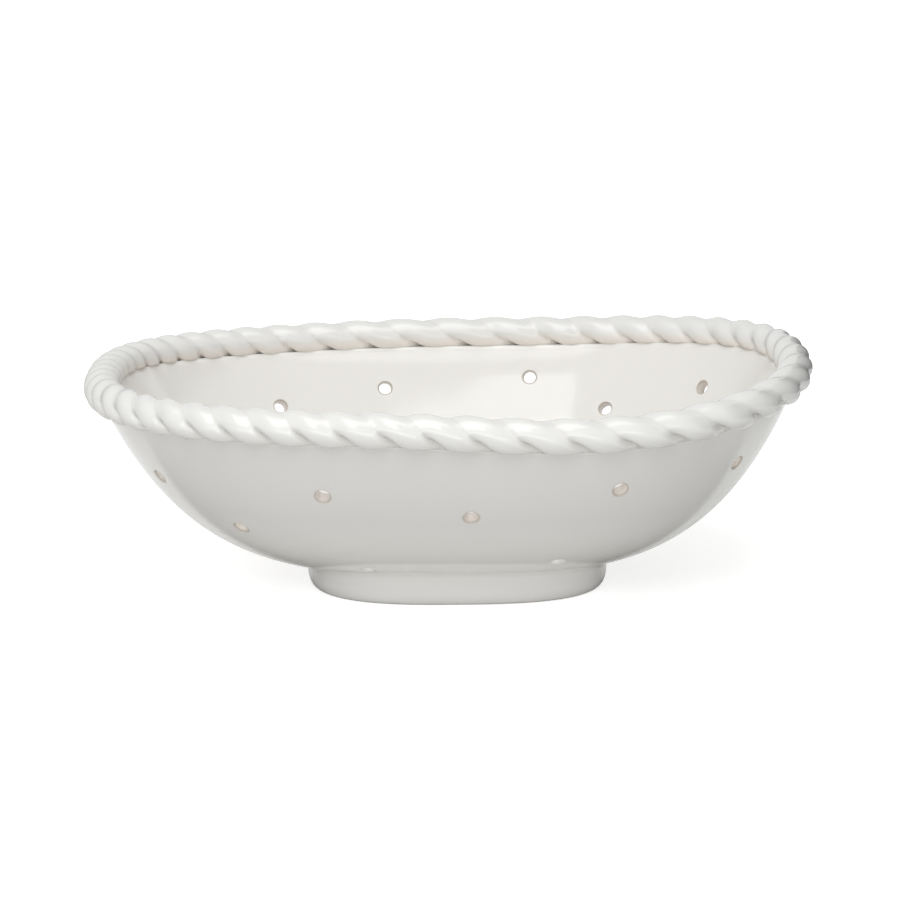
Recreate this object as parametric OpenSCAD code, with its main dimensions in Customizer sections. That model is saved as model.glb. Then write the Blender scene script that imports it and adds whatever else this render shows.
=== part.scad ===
// Oval colander bowl for berries: a pierced clay bowl on a low foot ring, with a two-strand rope along the lip.
// X runs along the bowl, Y from its front to its back, and Z up from the table under the foot ring.

/* [Rim] */
// Length of the lip, end to end over its outer edge
rim_length = 309; // [280:1:340]
// Width of the lip, front to back over its outer edge
rim_width = 217; // [195:1:240]
// Height of the lip's outer edge over the table, before the unevenness left by the potter
rim_height = 87.3; // [78:0.1:96]
// Rise of the lip at the right end and its fall at the left end
rim_lean = 2.3; // [0:0.1:3]
// Rise of the lip at both ends and its fall at both sides
rim_wave = 3.3; // [0:0.1:4]
// Rise and fall of the lip three times around
rim_wobble = 1.6; // [0:0.1:3]
// Rise and fall of the lip four times around
rim_ripple = 1; // [0:0.1:2]

/* [Wall] */
// Thickness of the wall and the floor
wall = 6; // [4.5:0.1:8]
// Height of the floor's underside over the table
floor_lift = 7.5; // [5:0.1:10]
// Distance of the floor and the foot ring from the middle of the rim, towards the right end
base_shift = 3.7; // [0:0.1:6]

/* [Drain holes] */
// Diameter of each drain hole
hole_d = 6; // [4:0.1:8]

/* [Foot] */
// Length of the foot ring
foot_length = 136; // [126:1:148]
// Width of the foot ring
foot_width = 101; // [92:1:110]
// Thickness of the foot ring
foot_wall = 13; // [11:0.1:16]
// How far the foot ring's rounded lower edge draws in
foot_edge = 3.5; // [2:0.1:6]
// Height of the rounded lower edge
foot_round = 6; // [3:0.1:9]

/* [Rope] */
// Diameter over the two twisted strands
rope_d = 16; // [13:0.1:19]
// Full turns of each strand on its way around the rim
rope_turns = 26; // [18:1:30]
// Width of the line of glaze between the two strands
strand_gap = 0.3; // [0.2:0.05:0.5]
// Thickness of the slip between the strands and the lip
seat_gap = 0.2; // [0.1:0.05:0.4]

/* [Hidden] */

// Curve of the wall from the floor to the lip: shares of half the rim's length, half its width and its height
long_shares = [0.27, 0.60, 0.84, 1];
short_shares = [0.20, 0.38, 0.94, 1];
rise_shares = [0, 0, 0.29, 1];
// Roundness of the ovals: 2 is an ellipse and more is squarer; the rim's left end is squarer than its right
rim_power = 2.45;
left_power = 0.12;
foot_power = 2.8;
// Bearings where the lip's wave and its wobble are highest
wave_bearing = 17;
wobble_bearing = 3;

// Drain holes in the wall: share of a full turn from the right end, and share of the way from floor to lip
hole_shares = [
  [0.05, 0.57],
  [0.093, 0.875],
  [0.156, 0.785],
  [0.19, 0.44],
  [0.203, 0.895],
  [0.281, 0.865],
  [0.31, 0.44],
  [0.341, 0.82],
  [0.38, 0.61],
  [0.43, 0.84],
  [0.50, 0.61],
  [0.59, 0.835],
  [0.63, 0.67],
  [0.684, 0.38],
  [0.687, 0.84],
  [0.756, 0.775],
  [0.814, 0.485],
  [0.825, 0.87],
  [0.899, 0.865],
  [0.934, 0.53],
];
// Drain holes in the floor: shares of half the foot ring's length and width
floor_hole_shares = [
  [0, 0],
  [0.4, 0.3],
  [-0.4, 0.3],
  [-0.4, -0.3],
  [0.4, -0.3],
];
hole_run_share = 3;
hole_run = wall * hole_run_share;
hole_facets = 24;

// Foot ring before it is shaped to the bowl
foot_inner_edge = foot_edge / 2;
foot_blank_share = 0.3;
foot_top = floor_lift + (rim_height - floor_lift) * foot_blank_share;
foot_cut_share = 0.7;

// Rope: each strand is round outside and flat where it meets the other
rope_rise_share = 0.36;
rope_rise = rope_d * rope_rise_share;
strand_share = 0.78;
strand_r = rope_d / 2 * strand_share;
strand_offset = rope_d / 2 - strand_r;
strand_span = acos((strand_gap / 2 - strand_offset) / strand_r);
// Angles of the hand twist: where it starts, how much it gains at the left end, at both ends and three times
// around, and the bearing that these gains are counted from
twist_start = 138;
twist_left = 318;
twist_ends = 162;
twist_wobble = 30;
twist_bearing = 6;

// Steps of the faceted surfaces
around = 80;
wall_rows = 14;
foot_cut_rows = 9;
edge_steps = 4;
rings_a_turn = 12;
rings = rope_turns * rings_a_turn;
arc_steps = 7;
strand_sides = arc_steps + 2;
table_steps = 180;
probe_turn = 0.05;
probe_share = 0.0005;

// Small helpers
function unit(v) = v / norm(v);
function bezier(h, s) =
  h[0] * pow(1 - s, 3) + 3 * h[1] * s * pow(1 - s, 2) + 3 * h[2] * s * s * (1 - s) + h[3] * pow(s, 3);
function oval(a, b, n, turn) =
  [a * cos(turn), b * sin(turn)] / pow(pow(abs(cos(turn)), n) + pow(abs(sin(turn)), n), 1 / n);

// Rise of the lip at one place around the rim
function bearing(turn) = atan2(rim_width * sin(turn), rim_length * cos(turn));
function uneven(turn) =
  rim_lean * cos(bearing(turn))
  + rim_wave * cos(2 * (bearing(turn) - wave_bearing))
  + rim_wobble * cos(3 * (bearing(turn) - wobble_bearing))
  + rim_ripple * cos(4 * bearing(turn));

// Outer face of the bowl, at a share of the way from floor to lip and a turn from the right end
function level(s) = floor_lift + (rim_height - floor_lift) * bezier(rise_shares, s);
function roundness(turn) = rim_power - left_power * cos(turn);
function skin_oval(s, turn) =
  let (a = rim_length / 2 * bezier(long_shares, s), b = rim_width / 2 * bezier(short_shares, s))
  oval(a, b, roundness(turn), turn);
function skin(s, turn) =
  let (p = skin_oval(s, turn))
  [p[0] + base_shift * (1 - s), p[1], level(s) + uneven(turn) * s * s];
function outward(s, turn) =
  unit(cross(
    skin(s, turn + probe_turn) - skin(s, turn - probe_turn),
    skin(s + probe_share, turn) - skin(s - probe_share, turn)));
// Inner face of the bowl, one wall thickness in
function lining(s, turn) = skin(s, turn) - wall * outward(s, turn);

// Triangles of a sheet of rows, each row a closed loop of points
function sheet(first, last, n) = [
  for (r = [first:last])
    for (j = [0:n - 1])
      each [
        [r * n + j, (r + 1) * n + j, (r + 1) * n + (j + 1) % n],
        [r * n + j, (r + 1) * n + (j + 1) % n, r * n + (j + 1) % n]
      ]
];
// Triangles of a fan that closes one row on a middle point, seen from below and from above
function fan_below(row, middle, n) = [for (j = [0:n - 1]) [middle, row * n + j, row * n + (j + 1) % n]];
function fan_above(row, middle, n) = [for (j = [0:n - 1]) [middle, row * n + (j + 1) % n, row * n + j]];

// Bowl: out from the middle of the underside, up to the lip, over it and down to the middle of the floor
module bowl_solid() {
  under = [for (i = [0:wall_rows], j = [0:around - 1]) skin(i / wall_rows, 360 * j / around)];
  inside = [for (i = [wall_rows:-1:0], j = [0:around - 1]) lining(i / wall_rows, 360 * j / around)];
  middles = [[base_shift, 0, floor_lift], [base_shift, 0, floor_lift + wall]];
  last_row = 2 * wall_rows + 1;
  count = (last_row + 1) * around;
  polyhedron(
    points = concat(under, inside, middles),
    faces = concat(
      sheet(0, last_row - 1, around),
      fan_below(0, count, around),
      fan_above(last_row, count + 1, around)));
}

// One drain hole, square to the wall
module wall_hole(place) {
  turn = 360 * place[0];
  aim = outward(place[1], turn);
  translate(skin(place[1], turn) - aim * wall / 2)
    rotate([0, acos(aim[2]), atan2(aim[1], aim[0])])
      cylinder(h = hole_run, d = hole_d, center = true, $fn = hole_facets);
}

// One drain hole, straight down through the floor
module floor_hole(place) {
  translate([base_shift + foot_length / 2 * place[0], foot_width / 2 * place[1], floor_lift + wall / 2])
    cylinder(h = hole_run, d = hole_d, center = true, $fn = hole_facets);
}

// The pierced bowl
module bowl_shell() {
  color([0.93, 0.92, 0.89])
    difference() {
      bowl_solid();
      for (place = hole_shares)
        wall_hole(place);
      for (place = floor_hole_shares)
        floor_hole(place);
    }
}

// Filled lower part of the bowl, which shapes the top of the foot ring
module bowl_underside() {
  under = [
    for (i = [0:foot_cut_rows], j = [0:around - 1])
      skin(foot_cut_share * i / foot_cut_rows, 360 * j / around)
  ];
  count = (foot_cut_rows + 1) * around;
  middles = [[base_shift, 0, floor_lift], [base_shift, 0, level(foot_cut_share)]];
  polyhedron(
    points = concat(under, middles),
    faces = concat(
      sheet(0, foot_cut_rows - 1, around),
      fan_below(0, count, around),
      fan_above(foot_cut_rows, count + 1, around)));
}

// Section of the foot ring as pairs of inset and height: up the outside, then down the inside
function foot_section() = concat(
  [for (b = [0:edge_steps]) [
    foot_edge * (1 - sin(90 * b / edge_steps)),
    foot_round * (1 - cos(90 * b / edge_steps))]],
  [[0, foot_top], [foot_wall, foot_top]],
  [for (b = [edge_steps:-1:0]) [
    foot_wall - foot_inner_edge * (1 - sin(90 * b / edge_steps)),
    foot_inner_edge * (1 - cos(90 * b / edge_steps))]]);
function foot_point(inset, height, turn) =
  let (p = oval(foot_length / 2 - inset, foot_width / 2 - inset, foot_power, turn))
  [p[0] + base_shift, p[1], height];

// Triangles of a closed ring of sections that each hold the same number of points
function closed_ring(rows, n) = [
  for (r = [0:rows - 1])
    for (j = [0:n - 1])
      each [
        [r * n + j, ((r + 1) % rows) * n + j, ((r + 1) % rows) * n + (j + 1) % n],
        [r * n + j, ((r + 1) % rows) * n + (j + 1) % n, r * n + (j + 1) % n]
      ]
];

// The foot ring, its top shaped to the bowl's underside
module foot_ring() {
  section = foot_section();
  color([0.90, 0.88, 0.84])
    difference() {
      polyhedron(
        points = [for (r = section, j = [0:around - 1]) foot_point(r[0], r[1], 360 * j / around)],
        faces = closed_ring(len(section), around));
      bowl_underside();
    }
}

// Line of the rope, over the outer edge of the lip, and the turn at a share of its length
function rope_axis(turn) = skin(1, turn) + [0, 0, rope_rise];
rope_chords = [
  for (i = [0:table_steps - 1])
    norm(rope_axis(360 * (i + 1) / table_steps) - rope_axis(360 * i / table_steps))
];
rope_run = [
  for (i = 0, run = 0; i <= table_steps; run = run + (i < table_steps ? rope_chords[i] : 0), i = i + 1) run
];
rope_table = [for (i = [0:table_steps]) [rope_run[i] / rope_run[table_steps], 360 * i / table_steps]];
function turn_at(share) = lookup(share, rope_table);

// Angle of a strand about the line of the rope
function twist(share) =
  let (way = 360 * share - twist_bearing)
  360 * rope_turns * share + twist_start
  - twist_left * sin(way) + twist_ends * sin(2 * way) - twist_wobble * cos(3 * way);

// A point of a strand, lifted onto the lip where it would sink into it
function seated(q, lip, lip_up) = q + lip_up * max(0, seat_gap - (q - lip) * lip_up);

// Section of a strand: the point nearest the line of the rope, then the round outside
function strand_section(share, half_turn) =
  let (
    turn = turn_at(share),
    lip = skin(1, turn),
    p = rope_axis(turn),
    ahead = unit(rope_axis(turn + probe_turn) - rope_axis(turn - probe_turn)),
    out = unit(cross(ahead, [0, 0, 1])),
    up = cross(out, ahead),
    lip_up = unit(cross(outward(1, turn), ahead)),
    a = twist(share) + half_turn,
    way = up * cos(a) + out * sin(a),
    side = out * cos(a) - up * sin(a))
  concat(
    [p + way * strand_gap / 2],
    [for (k = [0:arc_steps])
      let (b = strand_span * (2 * k / arc_steps - 1))
      seated(p + way * (strand_offset + strand_r * cos(b)) + side * strand_r * sin(b), lip, lip_up)]);

// Triangles of a strand: both halves of a section are split the same way, so that the strands lie face to face
function strand_faces(n) = [
  for (r = [0:rings - 1])
    let (s = (r + 1) % rings)
    for (j = [0:n - 1])
      let (k = (j + 1) % n)
      each (j < n / 2
        ? [[r * n + j, s * n + j, s * n + k], [r * n + j, s * n + k, r * n + k]]
        : [[r * n + j, s * n + j, r * n + k], [s * n + j, s * n + k, r * n + k]])
];

module strand(half_turn) {
  polyhedron(
    points = [for (r = [0:rings - 1]) each strand_section(r / rings, half_turn)],
    faces = strand_faces(strand_sides));
}

// First strand of the rope
module rope_strand_a() {
  color([0.95, 0.95, 0.93])
    strand(0);
}

// Second strand, half a turn behind the first
module rope_strand_b() {
  color([0.94, 0.93, 0.91])
    strand(180);
}

bowl_shell();
foot_ring();
rope_strand_a();
rope_strand_b();
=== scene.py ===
# %% [markdown]
# # A glazed berry colander with a rope rim
# The object is a hand-built clay bowl: an oval wall pierced with drain holes, a low ring for it to stand on,
# and two coils of clay twisted into a rope along the lip. All of it is under one coat of glossy white glaze.
# This lesson builds each piece as a surface worked out with whole numpy arrays, because a potter's forms are
# smooth sweeps: a short formula says more about them than a thousand hand-placed points.

# %% Load the construction that the looks are fitted to
import math

import bpy
import numpy as np
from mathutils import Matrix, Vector


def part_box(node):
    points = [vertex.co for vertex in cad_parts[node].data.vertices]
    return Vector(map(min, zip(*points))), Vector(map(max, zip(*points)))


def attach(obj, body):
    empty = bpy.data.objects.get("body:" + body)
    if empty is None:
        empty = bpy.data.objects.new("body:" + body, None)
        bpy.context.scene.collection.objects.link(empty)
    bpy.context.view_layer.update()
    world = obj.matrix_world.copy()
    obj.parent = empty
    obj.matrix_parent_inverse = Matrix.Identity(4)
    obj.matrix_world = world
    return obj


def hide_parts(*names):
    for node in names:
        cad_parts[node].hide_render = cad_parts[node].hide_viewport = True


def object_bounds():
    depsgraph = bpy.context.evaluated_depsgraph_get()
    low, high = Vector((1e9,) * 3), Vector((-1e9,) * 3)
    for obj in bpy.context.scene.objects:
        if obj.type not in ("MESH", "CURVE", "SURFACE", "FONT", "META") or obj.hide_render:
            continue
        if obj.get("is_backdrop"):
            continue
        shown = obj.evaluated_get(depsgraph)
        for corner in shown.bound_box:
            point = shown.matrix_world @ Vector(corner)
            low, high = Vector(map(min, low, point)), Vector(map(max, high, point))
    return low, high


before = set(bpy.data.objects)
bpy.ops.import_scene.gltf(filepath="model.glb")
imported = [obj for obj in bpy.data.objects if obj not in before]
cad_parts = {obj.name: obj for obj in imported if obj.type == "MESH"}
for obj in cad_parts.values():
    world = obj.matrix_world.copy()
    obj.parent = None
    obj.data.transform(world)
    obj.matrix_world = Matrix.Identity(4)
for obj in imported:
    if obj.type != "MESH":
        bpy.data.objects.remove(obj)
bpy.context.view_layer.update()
MM = 0.001
print("nodes:", sorted(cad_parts))

# %% [markdown]
# ## Sizes
# The construction already knows how large everything is, so the outer sizes are read from its boxes. Only
# what a box can't show is written down here: wall thickness, roundings, and the curve of the wall. Lengths
# are in millimetres, as on a potter's drawing, and become metres when a mesh is made.

# %% Read the outer sizes and name the rest


def box_size(node):
    """Size and middle of a node's box, in millimetres."""
    low, high = (np.array(corner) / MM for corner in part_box(node))
    return high - low, (high + low) / 2


(rim_length, rim_width, _), _ = box_size("bowl_shell")
(foot_length, foot_width, _), foot_middle = box_size("foot_ring")
floor_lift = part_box("bowl_shell")[0].z / MM
base_shift = foot_middle[0]
rim_height = 87.3
rim_lean, rim_wave, rim_wobble, rim_ripple = 2.3, 3.3, 1.6, 1.0
wave_bearing, wobble_bearing = math.radians(17), math.radians(3)
wall = 6.0
hole_radius = 3.0
hole_round = 1.1
long_shares = (0.27, 0.60, 0.84, 1.0)
short_shares = (0.20, 0.38, 0.94, 1.0)
rise_shares = (0.0, 0.0, 0.29, 1.0)
rim_power, left_power = 2.45, 0.12
print(f"rim {rim_length:.1f} x {rim_width:.1f} mm, foot {foot_length:.1f} x {foot_width:.1f} mm")

# %% [markdown]
# ## The wall as a formula
# A bowl like this is pressed over a mould, so its wall is one smooth sheet. A Screw modifier could turn a
# profile into a round bowl, but this oval changes its form as it climbs. So the sheet is a formula of two
# numbers: a turn around the bowl, and a share of the way from floor to lip. Three curves feed it: how the
# oval grows along its length, how it grows across, and how it climbs.

# %% Curves of the wall


def cubic(handles, s):
    """Cubic curve: four handles weighed by the products of the powers of s and of what is left of it."""
    a, b, c, d = handles
    return a * (1 - s) ** 3 + 3 * b * s * (1 - s) ** 2 + 3 * c * s**2 * (1 - s) + d * s**3


def oval(half_long, half_short, power, turn):
    """Ellipse whose sides are filled out: its cosine and sine are divided by their power mean."""
    c, s = np.cos(turn), np.sin(turn)
    mean = (np.abs(c) ** power + np.abs(s) ** power) ** (1 / power)
    return half_long * c / mean, half_short * s / mean


def uneven(turn):
    """Rise of the hand-formed lip: four slow waves of the bearing seen from the middle of the bowl."""
    bearing = np.arctan2(rim_width * np.sin(turn), rim_length * np.cos(turn))
    return (
        rim_lean * np.cos(bearing)
        + rim_wave * np.cos(2 * (bearing - wave_bearing))
        + rim_wobble * np.cos(3 * (bearing - wobble_bearing))
        + rim_ripple * np.cos(4 * bearing)
    )


def roundness(turn):
    """Power of the ovals: the left end is squarer than the right."""
    return rim_power - left_power * np.cos(turn)


def skin(share, turn):
    """Outer face. Shares 0 to 1 climb from the floor's edge to the lip, and shares -1 to 0 cross the flat
    floor from its middle hole outwards: there both half axes shrink evenly until the oval is the hole's
    round edge."""
    share, turn = np.broadcast_arrays(np.asarray(share, float), np.asarray(turn, float))
    s, across = np.maximum(share, 0), 1 + np.minimum(share, 0)
    edge = hole_radius + hole_round
    half_long = edge + (rim_length / 2 * cubic(long_shares, s) - edge) * across
    half_short = edge + (rim_width / 2 * cubic(short_shares, s) - edge) * across
    x, y = oval(half_long, half_short, 2 + (roundness(turn) - 2) * across, turn)
    z = floor_lift + (rim_height - floor_lift) * cubic(rise_shares, s) + uneven(turn) * s**2
    return np.stack([x + base_shift * (1 - s), y, z], axis=-1)


print("lip at the right end, mm:", np.round(skin(1, 0), 1).tolist())

# %% [markdown]
# ## The wall's thickness
# A wall with a thickness needs one more number: how deep under the outer face a point lies. A Solidify
# modifier could thicken a bare sheet, but the holes need points inside the wall too, so depth is a formula.

# %% Depth in the wall


def unit(v):
    """Vectors divided by their own lengths."""
    return v / np.linalg.norm(v, axis=-1, keepdims=True)


def slopes(share, turn, step=1e-4):
    """How the outer face moves with the turn and with the share, from points a small step to either side."""
    along = (skin(share, turn + step) - skin(share, turn - step)) / (2 * step)
    up = (skin(share + step, turn) - skin(share - step, turn)) / (2 * step)
    return along, up


def in_wall(share, turn, depth):
    """Point at a depth under the outer face: the face, less the depth times the direction square to it."""
    outward = unit(np.cross(*slopes(share, turn)))
    return skin(share, turn) - np.asarray(depth)[..., None] * outward


print("inner edge of the lip there, mm:", np.round(in_wall(1, 0, wall), 1).tolist())

# %% [markdown]
# ## From arrays to a mesh
# Every piece ends as a list of points and a list of four-cornered faces. Strips of faces join neighbouring
# rows of points, and rows that run around the bowl close on themselves. Values that a finish needs later,
# such as how much clay shows, travel with the points as named attributes.

# %% Helpers that join rows and make the mesh


def strip(rows):
    """Faces between neighbouring rows of point numbers, each row a closed loop."""
    after = np.roll(rows, -1, axis=1)
    return np.stack([rows[:-1], after[:-1], after[1:], rows[1:]], axis=-1).reshape(-1, 4)


def make_piece(name, points, faces, values, creases=None):
    """Mesh of a closed surface, in metres, with its attributes. It is smooth, apart from the edges between
    points of the same crease number: there a hidden face doesn't bend the light on the face before it."""
    mesh = bpy.data.meshes.new(name)
    mesh.from_pydata((points * MM).tolist(), [], faces.tolist())
    for key, value in values.items():
        layer = mesh.attributes.new(key, "FLOAT", "POINT")
        layer.data.foreach_set("value", np.asarray(value, np.float32))
    mesh.polygons.foreach_set("use_smooth", np.ones(len(faces), bool))
    if creases is not None:
        ends = np.empty(2 * len(mesh.edges), np.int32)
        mesh.edges.foreach_get("vertices", ends)
        one, other = creases[ends].reshape(-1, 2).T
        sharp = mesh.attributes.new("sharp_edge", "BOOLEAN", "EDGE")
        sharp.data.foreach_set("value", (one == other) & (one > 0))
    mesh.update()
    piece = bpy.data.objects.new(name, mesh)
    bpy.context.scene.collection.objects.link(piece)
    return piece


def volume(points, faces):
    """Volume inside a closed surface in cubic centimetres, above zero when its faces point outwards: the sum
    of the pyramids that the faces make with the origin."""
    a, b, c, d = (points[faces[:, k]] for k in range(4))
    cones = (np.cross(a, b) * c).sum(-1) + (np.cross(a, c) * d).sum(-1)
    return cones.sum() / 6 / 1000


print("two rows of four points make", len(strip(np.arange(8).reshape(2, 4))), "faces")

# %% [markdown]
# ## The pierced bowl
# The drain holes are cut while the clay is soft, and the glaze then rounds their edges. A boolean cut would
# leave hard slivers there, so each hole is built in: a patch of the wall's grid is left out, rings of points
# lead from the edge of that patch to a round edge, and from there through the wall to the same patch inside.
# First come the places: shares of a full turn and of the way from floor to lip, and for the floor shares of
# half the foot's length and width.

# %% Places of the holes
hole_shares = np.array([
    [0.05, 0.57], [0.093, 0.875], [0.156, 0.785], [0.19, 0.44], [0.203, 0.895],
    [0.281, 0.865], [0.31, 0.44], [0.341, 0.82], [0.38, 0.61], [0.43, 0.84],
    [0.50, 0.61], [0.59, 0.835], [0.63, 0.67], [0.684, 0.38], [0.687, 0.84],
    [0.756, 0.775], [0.814, 0.485], [0.825, 0.87], [0.899, 0.865], [0.934, 0.53],
])
floor_hole_shares = np.array([[0.4, 0.3], [-0.4, 0.3], [-0.4, -0.3], [0.4, -0.3]])
settle_rounds = 4


def settle(start, target, middle, axes):
    """Shares and turns whose points lie at target places in the plane square to a hole. Each round takes the
    face for flat: its slopes give two straight equations, which say how far to step to the target."""
    share, turn = start
    for _ in range(settle_rounds):
        miss = target - (skin(share, turn) - middle) @ axes.T
        along, up = (slope @ axes.T for slope in slopes(share, turn))
        area = along[..., 0] * up[..., 1] - along[..., 1] * up[..., 0]
        turn = turn + (miss[..., 0] * up[..., 1] - miss[..., 1] * up[..., 0]) / area
        share = share + (along[..., 0] * miss[..., 1] - along[..., 1] * miss[..., 0]) / area
    return share, turn


floor_places = floor_hole_shares * [foot_length / 2, foot_width / 2]
flat_axes = np.array([[1.0, 0, 0], [0, 1.0, 0]])
floor_guess_share, floor_stretch = -0.2, 2.5
floor_guess_turns = np.arctan2(floor_places[:, 1] * floor_stretch, floor_places[:, 0])
floor_guess = (np.full(len(floor_places), floor_guess_share), floor_guess_turns)
floor_at = settle(floor_guess, floor_places, np.array([base_shift, 0, 0]), flat_axes)
hole_at = np.concatenate([
    np.stack([hole_shares[:, 1], hole_shares[:, 0] * 2 * np.pi], axis=1),
    np.stack(floor_at, axis=1),
])
print(len(hole_at) + 1, "holes, counting the one in the middle of the floor")

# %% [markdown]
# A hole's section is a quarter round, a straight run and another quarter round. The rings around it start on
# the square outline of the patch and end on a circle, so that the faces between them stay even. The same
# function notes for each ring how far through the wall it is, how much clay shows and how much painted shade
# darkens its rounded edge.

# %% Rings of one hole
round_steps = 6
patch_mixes = np.array([0.3, 0.6, 0.85])
coated_below, bare_above = 0.5, 0.65


def ease(low, high, value):
    """0 below low, 1 above high, and a smooth climb between them."""
    t = np.clip((value - low) / (high - low), 0, 1)
    return t * t * (3 - 2 * t)


def hole_profile():
    """Section of a hole's edge as pairs of radius and depth: round over the outer edge, straight through the
    wall, and round again to the inner face."""
    bend = np.linspace(0, np.pi / 2, round_steps)
    radius = hole_radius + hole_round * (1 - np.sin(bend))
    depth = hole_round * (1 - np.cos(bend))
    return np.concatenate([radius, radius[::-1]]), np.concatenate([depth, wall - depth[::-1]])


def hole_rings(share0, turn0, shares, turns_of):
    """Rings from the edge of a patch to the round edge of its hole, through the wall and out to the inner
    patch. In the plane square to the hole each ring is a mix of the patch's outline and a circle. Low holes
    are coated by the glaze that ran down to them, and the others show clay, with painted shade on their
    rounded edges."""
    along, up = slopes(share0, turn0)
    across = unit(along)
    axes = np.stack([across, unit(up - (up @ across) * across)])
    middle = skin(share0, turn0)
    outline = (skin(shares, turns_of) - middle) @ axes.T
    circle = unit(outline)
    radius, depth = hole_profile()
    mixes = patch_mixes[:, None, None]
    sheet = (1 - mixes) * outline + mixes * circle * radius[0]
    target = np.concatenate([sheet, circle * radius[:, None, None], sheet[::-1]])
    start = (np.full(target.shape[:2], share0), np.full(target.shape[:2], turn0))
    share, turn = settle(start, target, middle, axes)
    flat = np.zeros(len(patch_mixes))
    deep = np.concatenate([flat, depth, flat + wall])
    bend = np.linspace(0, 1, round_steps)
    # painted shade on the rounded edge, strongest halfway round it
    painted_rim_shade = np.sin(np.pi * bend)
    bare = ease(coated_below, bare_above, share0)
    clay = bare * np.concatenate([flat, bend, bend[::-1], flat])
    edge = bare * np.concatenate([flat, painted_rim_shade, painted_rim_shade, flat])
    return in_wall(share, turn, np.broadcast_to(deep[:, None], share.shape)), deep / wall, clay, edge


radii, depths = hole_profile()
print("hole", 2 * radii.min(), "mm, rounded to", 2 * radii.max(), "mm at its edges")

# %% [markdown]
# The grid runs around the bowl in rows from the middle of the floor up to the lip, once on the outer face
# and once on the inner face. A few rows over the lip join the two, and the middle hole joins them in the
# floor. Every block of points keeps its numbers, so that later steps can share points instead of doubling
# them: a surface that shares its points has no open seam.

# %% Grid of the wall, the lip and the middle hole
around, floor_rows, wall_rows, lip_rows = 400, 10, 72, 3
turns = np.arange(around) * 2 * np.pi / around
turn_step = turns[1]
floor_shares = np.linspace(-1, 0, floor_rows + 1)[:-1]
row_shares = np.concatenate([floor_shares, np.linspace(0, 1, wall_rows + 1)])
rows = len(row_shares)
grid_share, grid_turn = np.meshgrid(row_shares, turns, indexing="ij")
outer = in_wall(grid_share, grid_turn, np.zeros(grid_share.shape))
inner = in_wall(grid_share, grid_turn, np.full(grid_share.shape, wall))
lip_depths = np.repeat(wall * np.linspace(0, 1, lip_rows + 2)[1:-1, None], around, axis=1)
lip = in_wall(np.ones(lip_depths.shape), np.broadcast_to(turns, lip_depths.shape), lip_depths)
ring = np.stack([np.cos(turns), np.sin(turns)], axis=-1)
middle_hole = np.concatenate([
    radii[:, None, None] * ring + [base_shift, 0],
    np.broadcast_to((floor_lift + depths)[:, None, None], (len(radii), around, 1)),
], axis=-1)[1:-1]

blocks = [outer, inner, lip, middle_hole]
starts = np.cumsum([0] + [block.shape[0] * around for block in blocks])
outer_no, inner_no, lip_no, middle_no = (
    start + np.arange(block.shape[0] * around).reshape(-1, around) for start, block in zip(starts, blocks)
)
print(rows, "rows of", around, "points on each face")

# %% [markdown]
# Each hole takes out the faces within reach of its middle. A walk around the gap, right, up, left and down,
# lists the grid points on its edge. The rings start from those points outside and end on them inside.

# %% Cut the patches and fill them with rings
patch_reach = 6.4
points = [block.reshape(-1, 3) for block in blocks]
lined = [np.full(len(p), inner_share) for p, inner_share in zip(points, (0, 1, 1, 1))]
clay = [np.full(len(p), bare) for p, bare in zip(points, (0, 0, 0, 1))]
edge = [np.zeros(len(p)) for p in points]
kept = np.ones((rows - 1, around), bool)
faces = [
    strip(np.concatenate([outer_no[-1:], lip_no, inner_no[-1:]])),
    strip(np.concatenate([outer_no[:1], middle_no, inner_no[:1]])[:, ::-1]),
]
count = starts[-1]
both_ways = np.array([-1, 1])
for share0, turn0 in hole_at:
    along, up = (np.linalg.norm(v) for v in slopes(share0, turn0))
    low, high = np.searchsorted(row_shares, share0 + patch_reach / up * both_ways) + [-1, 0]
    left, right = np.floor((turn0 + patch_reach / along * both_ways) / turn_step).astype(int) + [0, 1]
    to_right, to_left = np.arange(left, right), np.arange(right, left, -1)
    upward, downward = np.arange(low, high), np.arange(high, low, -1)
    wide, tall = np.ones(right - left, int), np.ones(high - low, int)
    loop_row = np.concatenate([low * wide, upward, high * wide, downward])
    loop_col = np.concatenate([to_right, right * tall, to_left, left * tall])
    kept[np.ix_(upward, to_right % around)] = False
    rings, *shown = hole_rings(share0, turn0, row_shares[loop_row], loop_col * turn_step)
    numbers = count + np.arange(rings.shape[0] * rings.shape[1]).reshape(rings.shape[:2])
    ends = [block[loop_row, loop_col % around][None] for block in (outer_no, inner_no)]
    faces.append(strip(np.concatenate([ends[0], numbers, ends[1]])))
    points.append(rings.reshape(-1, 3))
    for values, value in zip((lined, clay, edge), shown):
        values.append(np.repeat(value, rings.shape[1]))
    count += numbers.size
print(count, "points,", np.count_nonzero(~kept), "faces of each grid left out for the holes")

# %% [markdown]
# The finish will also want to know where the wall is paler: at its two ends, more so at the right, and low
# down where the glaze gathered as it ran. Both are partly the glaze's own cream and partly painted light,
# which lifts the low wall out of its shade and brightens the ends. The pale band low down is full up to its
# height and gone at twice that.

# %% Join everything into one surface
sheet_faces = strip(outer_no).reshape(rows - 1, around, 4)[kept]
lining_faces = strip(inner_no).reshape(rows - 1, around, 4)[kept][:, ::-1]
bowl_points = np.concatenate(points)
bowl_faces = np.concatenate([sheet_faces, lining_faces] + faces)
bowl_x, bowl_y, bowl_z = bowl_points.T
end_share = np.abs(bowl_x) / np.hypot(bowl_x, bowl_y * rim_length / rim_width)
# The ends are paler: partly their own yellowish tone, partly painted light, stronger at the right.
end_from, end_full = 0.6, 0.95
right_end_tone_and_light, left_end_tone_and_light = 1.0, 0.45
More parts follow.
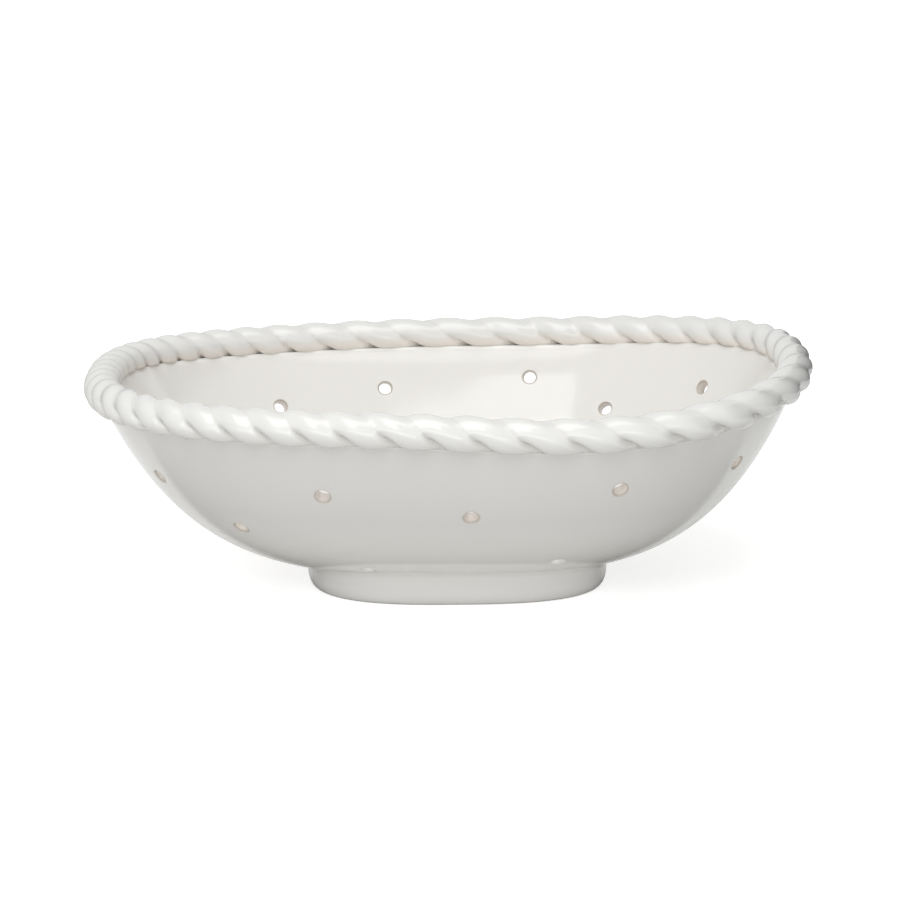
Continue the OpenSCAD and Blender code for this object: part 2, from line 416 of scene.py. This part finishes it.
# Paler low down: partly glaze gathered as it ran, partly painted light on the low wall, which faces the
# shaded floor.
pool_height = 25.0
bowl_values = {
    "lined": np.concatenate(lined),
    "clay": np.concatenate(clay),
    # painted shade on the holes' rounded edges
    "edge": np.concatenate(edge),
    "ends": ease(end_from, end_full, end_share) * np.where(bowl_x > 0, right_end_tone_and_light, left_end_tone_and_light),
    "pool_and_painted_light": np.clip(2.0 - bowl_z / pool_height, 0, 1),
}
bowl = make_piece("glazed_bowl", bowl_points, bowl_faces, bowl_values)
print(f"bowl: {2 * len(bowl_faces)} triangles, {volume(bowl_points, bowl_faces):.1f} cubic cm of clay")

# %% [markdown]
# ## The foot ring
# The ring under the bowl is a coil pressed flat on the bench and smoothed into the bowl above, so its top
# follows the bowl's underside. A boolean cut could fit it, but would leave a hard edge where glaze makes a
# soft one, so the height is worked out. The wall is given by shares and not by places, so it has no formula
# for the height over a place: halving finds it.

# %% Height of the bowl's underside over any place
halvings = 40


def underside(x, y):
    """Height of the bowl's outer face over a place. Halving finds the share of the wall whose oval passes
    through the place: the place lies inside an oval when its two shares of the half axes, powered, sum to
    less than 1."""
    low, high = np.zeros(np.shape(x)), np.ones(np.shape(x))
    for _ in range(halvings):
        s = (low + high) / 2
        long_part = (x - base_shift * (1 - s)) / (rim_length / 2 * cubic(long_shares, s))
        short_part = y / (rim_width / 2 * cubic(short_shares, s))
        power = roundness(np.arctan2(short_part, long_part))
        inside = np.abs(long_part) ** power + np.abs(short_part) ** power < 1
        low, high = np.where(inside, low, s), np.where(inside, s, high)
    return floor_lift + (rim_height - floor_lift) * cubic(rise_shares, high)


foot_front = underside(np.array([base_shift]), np.array([-foot_width / 2]))[0]
print(f"bowl's underside over the front of the foot: {foot_front:.1f} mm")

# %% [markdown]
# Glaze gathers in the corner between the foot and the bowl. The ring's section shows that: up the outside,
# out a little where the glaze gathers, and down the inside to the sole. It is carried around an oval.

# %% Section of the ring, carried around
foot_power = 2.8
foot_wall, foot_edge, foot_round = 13.0, 3.5, 6.0
foot_inner_edge = 1.75
joint_round = 2.4
foot_around, bend_steps = 280, 9
foot_turns = np.arange(foot_around) * 2 * np.pi / foot_around


def foot_place(inset):
    """Places on the foot's oval, drawn in by an inset."""
    x, y = oval(foot_length / 2 - inset, foot_width / 2 - inset, foot_power, foot_turns)
    return x + base_shift, y


def foot_side(inset_edge, draw_in, rise, joint_sign):
    """Rows up one side of the ring: a quarter of an ellipse from the sole, straight up to the joint, and a
    hollow quarter circle that runs out under the bowl. Insets grow inwards, and joint_sign says which way
    is away from the ring."""
    bend = np.linspace(0, np.pi / 2, bend_steps)[:, None]
    ones = np.ones(foot_around)
    lower_inset = (inset_edge + joint_sign * -draw_in * (1 - np.sin(bend))) * ones
    lower_z = rise * (1 - np.cos(bend)) * ones
    upper_inset = (inset_edge + joint_sign * joint_round * (1 - np.cos(bend))) * ones
    under = np.stack([underside(*foot_place(row)) for row in upper_inset])
    upper_z = np.maximum(under - joint_round * (1 - np.sin(bend)), lower_z[-1])
    return np.concatenate([lower_inset, upper_inset]), np.concatenate([lower_z, upper_z])


outside = foot_side(0.0, foot_edge, foot_round, -1)
inside = foot_side(foot_wall, foot_inner_edge, foot_inner_edge, 1)
inset = np.concatenate([outside[0], inside[0][::-1]])
height = np.concatenate([outside[1], inside[1][::-1]])
foot_grid = np.stack([np.stack([*foot_place(i), z], axis=-1) for i, z in zip(inset, height)])
print("section of", len(foot_grid), "points, carried to", foot_around, "places")

# %% Mesh of the foot
bare_height = 0.8
foot_points = foot_grid.reshape(-1, 3)
foot_no = np.arange(len(foot_points)).reshape(-1, foot_around)
foot_faces = strip(np.concatenate([foot_no, foot_no[:1]]))
gather = np.linspace(0, 1, bend_steps)
plain = np.zeros(bend_steps)
joint_rows = np.zeros(len(foot_grid), int)
joint_rows[2 * bend_steps - 1] = 1
joint_rows[2 * bend_steps] = 2
foot_values = {
    "clay": np.clip(1 - foot_points[:, 2] / bare_height, 0, 1),
    # cream where glaze gathers at the joint, made paler as painted light in that shaded corner
    "pool_and_painted_light": np.repeat(np.concatenate([plain, gather, gather[::-1], plain]), foot_around),
}
foot_creases = np.repeat(joint_rows, foot_around)
foot = make_piece("glazed_foot_ring", foot_points, foot_faces, foot_values, foot_creases)
print(f"foot ring: {2 * len(foot_faces)} triangles, {volume(foot_points, foot_faces):.1f} cubic cm")

# %% [markdown]
# ## The rope
# Two coils of clay are twisted and laid along the lip. A bevelled curve could sweep a round strand, but
# these have pressed each other flat where they meet. So each is a section of its own, carried along the line
# of the rope while it turns about it. The twist isn't even: hands tightened it at the left end of the bowl.
# The angle of the twist is therefore an even climb with a few slow waves added.

# %% Line and twist of the rope
rope_d, rope_turns = 16.0, 26
rope_rise = 0.36 * rope_d
strand_radius = 0.78 * rope_d / 2
strand_offset = rope_d / 2 - strand_radius
twist_start, twist_left, twist_ends, twist_wobble, twist_bearing = np.radians([138, 318, 162, 30, 6])
rings_a_turn, section_steps = 40, 24
rings_around = rings_a_turn * rope_turns
line_steps = 1440

fine_turns = np.linspace(0, 2 * np.pi, line_steps + 1)
rope_line = skin(1, fine_turns)
rope_run = np.concatenate([[0], np.cumsum(np.linalg.norm(np.diff(rope_line, axis=0), axis=1))])
share_along = np.arange(rings_around) / rings_around
rope_turn = np.interp(share_along, rope_run / rope_run[-1], fine_turns)
way_round = 2 * np.pi * share_along - twist_bearing
rope_twist = (
    2 * np.pi * rope_turns * share_along
    + twist_start
    - twist_left * np.sin(way_round)
    + twist_ends * np.sin(2 * way_round)
    - twist_wobble * np.cos(3 * way_round)
)
print(f"rope {rope_run[-1]:.0f} mm long, {rope_turns} turns")

# %% [markdown]
# The groove between the strands changes as the rope turns. Glaze fills it on top of the rope and leaves it
# sharp below, where a tool has pressed it deeper, more on the outer side than on the inner. So the section
# depends on the heading: the direction in which a point looks, counted from straight up.

# %% Section of a strand
top_fill, low_fill = 1.1, 0.12
notch_depth, notch_reach = 3.0, 2.4
notch_low, notch_sides = (0.35, 0.8), (0.15, 0.5)
inner_relief, inner_side = 0.5, (0.0, 0.4)


def near_groove(angle, reach):
    """1 in the groove between the strands, falling off as a bell over a reach in millimetres."""
    return np.exp(-(((np.pi / 2 - np.abs(angle)) * strand_radius / reach) ** 2))


def lowness(heading):
    """0 at the top of the rope and 1 at its bottom: half of what the cosine of the heading leaves of 1."""
    return (1 - np.cos(heading)) / 2


def strand_reach(angle, heading):
    """Distance from the rope's line to its surface, at an angle from the middle of a strand: the larger of
    two circles set to either side of the line, with the step between them eased by the fill of glaze, less
    the notch that the tool has pressed."""
    low = lowness(heading)
    root = np.sqrt(strand_radius**2 - (strand_offset * np.sin(angle)) ** 2)
    fill = top_fill + (low_fill - top_fill) * low
    crest = np.sqrt(strand_offset**2 + fill**2) - strand_offset
    eased = root + np.sqrt((strand_offset * np.cos(angle)) ** 2 + fill**2) - crest
    pressed = ease(*notch_low, low) * ease(*notch_sides, np.abs(np.sin(heading)))
    pressed = pressed * (1 - inner_relief * ease(*inner_side, -np.sin(heading)))
    return eased - notch_depth * pressed * near_groove(angle, notch_reach)


crest_reach = strand_reach(np.zeros(1), np.zeros(1))[0]
print(f"a strand's crest is {crest_reach:.1f} mm from the rope's line")

# %% Carry the section along the lip
seat_gap = -0.25


def rope_strand(half_turn):
    """Points of one strand: at each place along the rope, half of its outline, turned by the twist. Points
    that would sink into the lip are lifted onto it."""
    lip_line = skin(1, rope_turn)
    along, up_wall = slopes(1, rope_turn)
    ahead = unit(along)
    out = unit(np.cross(ahead, [0, 0, 1.0]))
    up = np.cross(out, ahead)
    lip_up = unit(np.cross(unit(np.cross(along, up_wall)), ahead))
    angle = np.linspace(-np.pi / 2, np.pi / 2, section_steps + 1)
    heading = (rope_twist + half_turn)[:, None] + angle
    reach = strand_reach(angle, heading)[..., None]
    way = np.cos(heading)[..., None] * up[:, None] + np.sin(heading)[..., None] * out[:, None]
    q = (lip_line + [0, 0, rope_rise])[:, None] + way * reach
    clear = ((q - lip_line[:, None]) * lip_up[:, None]).sum(-1)
    q = q + lip_up[:, None] * np.maximum(seat_gap - clear, 0)[..., None]
    return q, angle, heading


print("each strand is", rings_around, "sections of", section_steps + 1, "points")

# %% Tints and meshes of the strands
# Masks of painted shade on the rope: grey in its grooves, more so low down, and under its outer side.
groove_width, groove_low, top_groove = 1.0, (0.3, 0.8), 0.25
shade_share, shade_low, shade_side = 0.4, (0.5, 0.9), (-0.1, 0.3)
# Where painted warm bounce light sits, low on the rope's inner side.
warm_low, warm_side = (0.35, 0.8), (0.1, 0.9)


def strand_tints(angle, heading):
    """Painted shade, grey in the grooves between the strands and a little under the outer side, and painted
    warm bounce light low on the inner side: products of eased climbs over the lowness and the sideways part
    of the heading."""
    low = lowness(heading)
    # painted shade in the grooves and under the outer side
    painted_groove_shade = near_groove(angle, groove_width) * (top_groove + (1 - top_groove) * ease(*groove_low, low))
    under_shade = shade_share * ease(*shade_low, low) * ease(*shade_side, np.sin(heading))
    # painted warm bounce light in the shade low on the inner side
    painted_warm_bounce = ease(*warm_side, -np.sin(heading)) * ease(*warm_low, low)
    return {"painted_groove_shade": np.maximum(painted_groove_shade, under_shade).ravel(), "painted_warm_bounce": painted_warm_bounce.ravel()}


strands = []
for letter, half_turn in (("a", 0.0), ("b", np.pi)):
    q, angle, heading = rope_strand(half_turn)
    numbers = np.arange(heading.size).reshape(heading.shape)
    rope_faces = strip(np.concatenate([numbers, numbers[:1]]))
    strand_points = q.reshape(-1, 3)
    creases = np.zeros(numbers.shape, int)
    creases[:, 0] = 1
    creases[:, -1] = 2
    tints = strand_tints(angle, heading)
    strands.append(make_piece(f"glazed_strand_{letter}", strand_points, rope_faces, tints, creases.ravel()))
    strand_volume = volume(strand_points, rope_faces)
    print(f"strand {letter}: {2 * len(rope_faces)} triangles, {strand_volume:.1f} cubic cm")

# %% [markdown]
# ## Glaze
# White glaze is a thin coat of glass over pale clay. It is creamy where it gathers, thin and warm where it
# runs off an edge, and never quite flat: it has the faint ripple of orange peel and a few pinholes. A painted
# picture could show that, but noise in the object's own coordinates has no seams and no loss when seen
# close. Some colours below also carry light: the cream where it gathers is partly painted light, and the dark
# on the holes' edges is painted shade. A few helpers keep the node code short.

# %% Node helpers


def add(tree, kind, **settings):
    """New node with its settings: keys that are sockets set their values, and other keys set properties."""
    made = tree.nodes.new(kind)
    for key, value in settings.items():
        if key in made.inputs:
            made.inputs[key].default_value = value
        else:
            setattr(made, key, value)
    return made


def calc(tree, operation, *values):
    """Result of a Math node on values, each a socket or a number."""
    made = add(tree, "ShaderNodeMath", operation=operation)
    for socket, value in zip(made.inputs, values):
        if isinstance(value, float):
            socket.default_value = value
        else:
            tree.links.new(value, socket)
    return made.outputs[0]


def ramp(tree, value, start, stop, low, high):
    """Straight climb from low to high while a value goes from start to stop."""
    limits = {"From Min": start, "From Max": stop, "To Min": low, "To Max": high}
    made = add(tree, "ShaderNodeMapRange", **limits)
    tree.links.new(value, made.inputs["Value"])
    return made.outputs["Result"]


def noise(tree, where, scale, detail, roughness):
    """Cloudy noise at a place, with about as many clouds a metre as its scale says."""
    made = add(tree, "ShaderNodeTexNoise", Scale=scale, Detail=detail, Roughness=roughness)
    tree.links.new(where, made.inputs["Vector"])
    return made.outputs["Fac"]


def mix_colours(tree, factor, a, b):
    """Colour between a and b by a factor; either colour may be a socket or a value."""
    made = add(tree, "ShaderNodeMix", data_type="RGBA")
    tree.links.new(factor, made.inputs[0])
    for socket, colour in ((made.inputs[6], a), (made.inputs[7], b)):
        if isinstance(colour, tuple):
            socket.default_value = (*colour, 1)
        else:
            tree.links.new(colour, socket)
    return made.outputs[2]


print("helpers:", [helper.__name__ for helper in (add, calc, ramp, noise, mix_colours)])

# %% [markdown]
# One function makes the finish. Slow clouds set the coat's colour and gloss together, because a thick coat is
# smoother and a shade deeper than a thin one. Layers of colour follow, each where the piece's own attribute
# says so, then the pinholes. Two bumps, a slow ripple and a fine peel, break up what the surface mirrors.

# %% Glaze finish
pinhole_brown = (0.45, 0.41, 0.36)
pinholes_a_metre, pinhole_choice = 48.0, 0.83
pinhole_core, pinhole_edge, pinhole_strength = 0.014, 0.03, 0.7
glaze_bend = 1.52
thick_gloss, thin_gloss = 0.07, 0.17
cloud_noise, ripple_noise, peel_noise = (22.0, 3.0, 0.55), (34.0, 1.0, 0.4), (170.0, 2.0, 0.5)
ripple_height, peel_height = 0.0006, 0.0001


def pinholes(tree, where):
    """Factor of sparse dots: of cells about 2 cm wide in space, the brightest few are chosen by their chance
    colour, and such a cell shows a dot where the surface passes its middle."""
    cells = add(tree, "ShaderNodeTexVoronoi", Scale=pinholes_a_metre)
    tree.links.new(where, cells.inputs["Vector"])
    dot = ramp(tree, cells.outputs["Distance"], pinhole_core, pinhole_edge, pinhole_strength, 0.0)
    chosen = calc(tree, "GREATER_THAN", cells.outputs["Color"], pinhole_choice)
    return calc(tree, "MULTIPLY", dot, chosen)


def glaze(name, thick, thin, layers):
    """Glossy glaze: slow clouds between its thick and thin colours, then each layer's colour where the
    attribute of that name says so, and a faint ripple in its gloss."""
    material = bpy.data.materials.new(name)
    material.use_nodes = True
    tree = material.node_tree
    finish = tree.nodes["Principled BSDF"]
    finish.inputs["IOR"].default_value = glaze_bend
    where = add(tree, "ShaderNodeTexCoord").outputs["Object"]
    clouds = noise(tree, where, *cloud_noise)
    coat = mix_colours(tree, clouds, thick, thin)
    for attribute, shown in layers:
        layer = add(tree, "ShaderNodeAttribute", attribute_name=attribute)
        coat = mix_colours(tree, layer.outputs["Fac"], coat, shown)
    coat = mix_colours(tree, pinholes(tree, where), coat, pinhole_brown)
    tree.links.new(coat, finish.inputs["Base Color"])
    tree.links.new(ramp(tree, clouds, 0.0, 1.0, thick_gloss, thin_gloss), finish.inputs["Roughness"])
    slow = add(tree, "ShaderNodeBump", Strength=0.5, Distance=ripple_height)
    fine = add(tree, "ShaderNodeBump", Strength=0.25, Distance=peel_height)
    tree.links.new(noise(tree, where, *ripple_noise), slow.inputs["Height"])
    tree.links.new(noise(tree, where, *peel_noise), fine.inputs["Height"])
    tree.links.new(slow.outputs["Normal"], fine.inputs["Normal"])
    tree.links.new(fine.outputs["Normal"], finish.inputs["Normal"])
    return material


print("one glaze for all pieces, bending light by", glaze_bend)

# %% [markdown]
# Each piece gets its own mix. The wall is cream low down and at its ends, partly as painted light, and
# shows pink clay in its holes, made pale by painted light, with painted shade on their rounded edges. Its
# outer face is a darker copy of the glaze as painted shade, and its inner face a lighter copy as painted
# light. The foot is a lighter copy as painted light, cream at its joint partly as painted light, and shows
# bare clay on its sole. The rope has painted shade in its grooves and under its outer side, and painted warm
# bounce light low inside. Three materials are clearer than one with switches: each can be changed later
# without touching the others.

# %% Colours of the three finishes
# The holes show pink clay, made pale as painted light that comes through them; the bare clay on the foot's
# sole is its own colour.
hole_clay_and_light, bare_clay = (0.92, 0.865, 0.81), (0.74, 0.66, 0.58)
# Painted shade brown for the holes' rounded edges; the joint cream is glaze gathered at the foot's joint,
# made paler as painted light.
painted_rim_shade_brown, joint_cream_and_light = (0.54, 0.49, 0.43), (0.95, 0.93, 0.86)
# The low cream is glaze gathered low on the wall, made paler as painted light; the end cream is the ends'
# tone, made paler as painted light.
low_cream_and_light, end_cream_and_light = (0.87, 0.855, 0.815), (0.81, 0.805, 0.755)
# A lighter, lit copy of the white glaze for the inner face: painted light.
lit_lining_white = (0.90, 0.885, 0.85)
# Painted shade grey for the rope's grooves and underside, and a painted warm bounce colour for its low inner
# side.
painted_shade_grey, painted_warm_bounce_colour = (0.66, 0.64, 0.60), (0.90, 0.84, 0.78)
wall_layers = (
    ("pool_and_painted_light", low_cream_and_light),
    ("ends", end_cream_and_light),
    ("lined", lit_lining_white),
    ("clay", hole_clay_and_light),
    ("edge", painted_rim_shade_brown),
)
foot_layers = (("clay", bare_clay), ("pool_and_painted_light", joint_cream_and_light))
rope_layers = (("painted_groove_shade", painted_shade_grey), ("painted_warm_bounce", painted_warm_bounce_colour))
# One white glaze in several copies: darker on the outer wall as painted shade, lighter on the foot as painted
# light.
shaded_wall_thick, shaded_wall_thin = (0.70, 0.695, 0.67), (0.725, 0.715, 0.69)
lit_foot_thick, lit_foot_thin = (0.89, 0.885, 0.86), (0.92, 0.91, 0.885)
rope_thick, rope_thin = (0.81, 0.81, 0.785), (0.84, 0.835, 0.81)
wall_glaze = glaze("white glaze on the wall", shaded_wall_thick, shaded_wall_thin, wall_layers)
foot_glaze = glaze("white glaze on the foot", lit_foot_thick, lit_foot_thin, foot_layers)
rope_glaze = glaze("white glaze on the rope", rope_thick, rope_thin, rope_layers)
print("finishes:", [material.name for material in (wall_glaze, foot_glaze, rope_glaze)])

# %% [markdown]
# ## Joining looks and construction
# A fired bowl is one rigid thing, so every glazed piece rides on the same body. Each stands for one node of
# the construction, which stays behind it for weight and contact.

# %% Hang the pieces on the construction
for piece, node, slot_name, material in (
    (bowl, "bowl_shell", "wall_glaze", wall_glaze),
    (foot, "foot_ring", "foot_glaze", foot_glaze),
    (strands[0], "rope_strand_a", "rope_glaze", rope_glaze),
    (strands[1], "rope_strand_b", "rope_glaze", rope_glaze),
):
    piece.data.materials.append(material)
    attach(piece, "root")
    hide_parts(node)
    print(piece.name, "stands for", node)

# %% [markdown]
# ## Camera
# The photograph looks down at the bowl by a little under 14 degrees from a step away, with a long lens, so
# near and far edges keep nearly the same scale. The lens follows from how many pixels one millimetre takes
# at the bowl.

# %% Camera at the photograph's place
photo_width = 900
pixels_a_mm = 2.22
view_distance = 1200.0
view_rise = math.radians(12.04)
view_turn = math.radians(-2.1)
aim = Vector((0.63, 0.0, 58.8)) * MM
eye_from = Vector((0.0, 0.0, 93.0)) * MM
level_back = math.cos(view_rise)
back = Vector((math.sin(view_turn) * level_back, -math.cos(view_turn) * level_back, math.sin(view_rise)))
lens = bpy.data.cameras.new("camera")
lens.sensor_width = 36.0
lens.lens = lens.sensor_width * pixels_a_mm * view_distance / photo_width
camera = bpy.data.objects.new("camera", lens)
camera.location = eye_from + back * view_distance * MM
camera.rotation_euler = (aim - camera.location).to_track_quat("-Z", "Y").to_euler()
bpy.context.scene.collection.objects.link(camera)
bpy.context.scene.camera = camera
print(f"lens {lens.lens:.1f} mm at {view_distance / 1000:.2f} m")

# %% [markdown]
# ## Studio
# White glaze shows its shape through what it mirrors, so a studio for it is mostly things to be mirrored.
# The floor is pale paper that keeps the bowl's soft shadow. The camera sees it white, and so do mirrors: the
# paper gives a little light of its own to those two kinds of ray, so no lamp has to be brighter for it.

# %% Paper floor
floor_half = 4.0
paper_white = 0.88
camera_lift, mirror_lift = 0.66, 0.4


def flat_sheet(name, corners, shade):
    """Flat dull sheet of one shade of grey, and the nodes of its material."""
    mesh = bpy.data.meshes.new(name)
    mesh.from_pydata(corners, [], [(0, 1, 2, 3)])
    made = bpy.data.objects.new(name, mesh)
    bpy.context.scene.collection.objects.link(made)
    material = bpy.data.materials.new(name)
    material.use_nodes = True
    finish = material.node_tree.nodes["Principled BSDF"]
    finish.inputs["Base Color"].default_value = (shade, shade, shade, 1)
    finish.inputs["Roughness"].default_value = 1.0
    mesh.materials.append(material)
    return made, material.node_tree


def seen_by(tree):
    """Two factors: 1 for a ray that comes from the camera, and 1 for one from a mirror or through glass."""
    ray = add(tree, "ShaderNodeLightPath").outputs
    return ray["Is Camera Ray"], calc(tree, "MAXIMUM", ray["Is Glossy Ray"], ray["Is Transmission Ray"])


floor_corners = [(x * floor_half, y * floor_half, 0) for x, y in ((-1, -1), (1, -1), (1, 1), (-1, 1))]
floor, tree = flat_sheet("floor", floor_corners, paper_white)
floor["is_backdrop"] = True
paper_finish = tree.nodes["Principled BSDF"]
paper_finish.inputs["Specular IOR Level"].default_value = 0.0
paper_finish.inputs["Emission Color"].default_value = (1, 1, 1, 1)
by_camera, by_mirror = seen_by(tree)
lift = calc(tree, "MULTIPLY_ADD", by_camera, camera_lift, calc(tree, "MULTIPLY", by_mirror, mirror_lift))
tree.links.new(lift, paper_finish.inputs["Emission Strength"])
print(f"floor {2 * floor_half:.0f} m square")

# %% [markdown]
# A photographer puts cards around a glossy thing to give it tones and edges. Here a grey card lies in front
# of the bowl. Mirrors alone see it, and it turns the front wall a quiet grey with paler ends, where its soft
# edges let the floor show again.

# %% Grey card in front
card_half, card_far, card_near, card_lift = 0.3, 0.02, -2.0, 0.0002
card_grey = 0.2
far_fade, side_fade = (-0.018, -0.002), (0.18, 0.3)

front_card, tree = flat_sheet(
    "grey card in front",
    [
        (-card_half, card_near, card_lift),
        (card_half, card_near, card_lift),
        (card_half, card_far, card_lift),
        (-card_half, card_far, card_lift),
    ],
    card_grey,
)
place = add(tree, "ShaderNodeSeparateXYZ")
tree.links.new(add(tree, "ShaderNodeTexCoord").outputs["Object"], place.inputs[0])
far_edge = ramp(tree, place.outputs["Y"], *far_fade, 1.0, 0.0)
side_edges = ramp(tree, calc(tree, "ABSOLUTE", place.outputs["X"]), *side_fade, 1.0, 0.0)
fade = add(tree, "ShaderNodeMixShader")
tree.links.new(calc(tree, "MULTIPLY", far_edge, side_edges), fade.inputs[0])
tree.links.new(add(tree, "ShaderNodeBsdfTransparent").outputs[0], fade.inputs[1])
tree.links.new(tree.nodes["Principled BSDF"].outputs[0], fade.inputs[2])
tree.links.new(fade.outputs[0], tree.nodes["Material Output"].inputs["Surface"])
front_card.visible_diffuse = front_card.visible_shadow = False
print(f"card {2 * card_half:.1f} m wide")

# %% [markdown]
# A black flag stands at the right and takes light from that end of the rope. The camera sees neither card,
# and both belong to the stage, so they stay out of the model.

# %% Black flag at the right
flag_x, flag_front, flag_back, flag_low, flag_high = 0.24, -0.15, 0.25, 0.07, 0.25
flag_black = 0.02

flag, _ = flat_sheet(
    "black flag at the right",
    [
        (flag_x, flag_front, flag_low),
        (flag_x, flag_back, flag_low),
        (flag_x, flag_back, flag_high),
        (flag_x, flag_front, flag_high),
    ],
    flag_black,
)
for made in (front_card, flag):
    made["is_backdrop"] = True
    made.visible_camera = False
    print("stage:", made.name)

# %% [markdown]
# The light is a few large soft panels, since small lamps would leave hard sparks on the glaze: a key high
# before the bowl and to the left, a weaker one overhead, and a low one in front that opens the shade under
# the rope. Their level is plain, so that a colour shows about as it was written.

# %% Soft lights


def area_light(name, place, look_at, size, power):
    """Rectangular soft light that faces a point."""
    data = bpy.data.lights.new(name, "AREA")
    data.shape = "RECTANGLE"
    data.size, data.size_y = size
    data.energy = power
    lamp = bpy.data.objects.new(name, data)
    lamp.location = place
    lamp.rotation_euler = (Vector(look_at) - Vector(place)).to_track_quat("-Z", "Y").to_euler()
    bpy.context.scene.collection.objects.link(lamp)
    return lamp


lamps = [
    area_light("key", (-0.28, -1.05, 1.3), (0, 0, 0.05), (0.72, 1.3), 7.5),
    area_light("overhead", (0.0, -0.35, 1.6), (0, 0, 0.05), (1.2, 0.8), 6.0),
    area_light("front", (0.0, -1.5, 0.25), (0, 0, 0.03), (1.8, 0.4), 4.5),
]
print("lights:", [f"{lamp.name} {lamp.data.energy:.1f} W" for lamp in lamps])

# %% [markdown]
# The world is a white room. The camera and mirrors see it white, and it lights the bowl from all sides at
# less than half of that, so that the panels still give the bowl a bright side and a shaded one.

# %% White world
world_light, world_white = 0.45, 1.0
world = bpy.data.worlds.new("studio")
world.use_nodes = True
bpy.context.scene.world = world
tree = world.node_tree
sky = tree.nodes["Background"]
sky.inputs["Color"].default_value = (1, 1, 1, 1)
seen = calc(tree, "MAXIMUM", *seen_by(tree))
tree.links.new(ramp(tree, seen, 0.0, 1.0, world_light, world_white), sky.inputs["Strength"])
bpy.context.scene.view_settings.view_transform = "Standard"
print("world light:", world_light)

# %% [markdown]
# ## Size of the looks
# Looks must not change an object's size. The box of the glazed pieces is measured and its size printed.

# %% Measure and finish
low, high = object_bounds()
print("visual size, mm:", [round(v / MM, 1) for v in high - low])
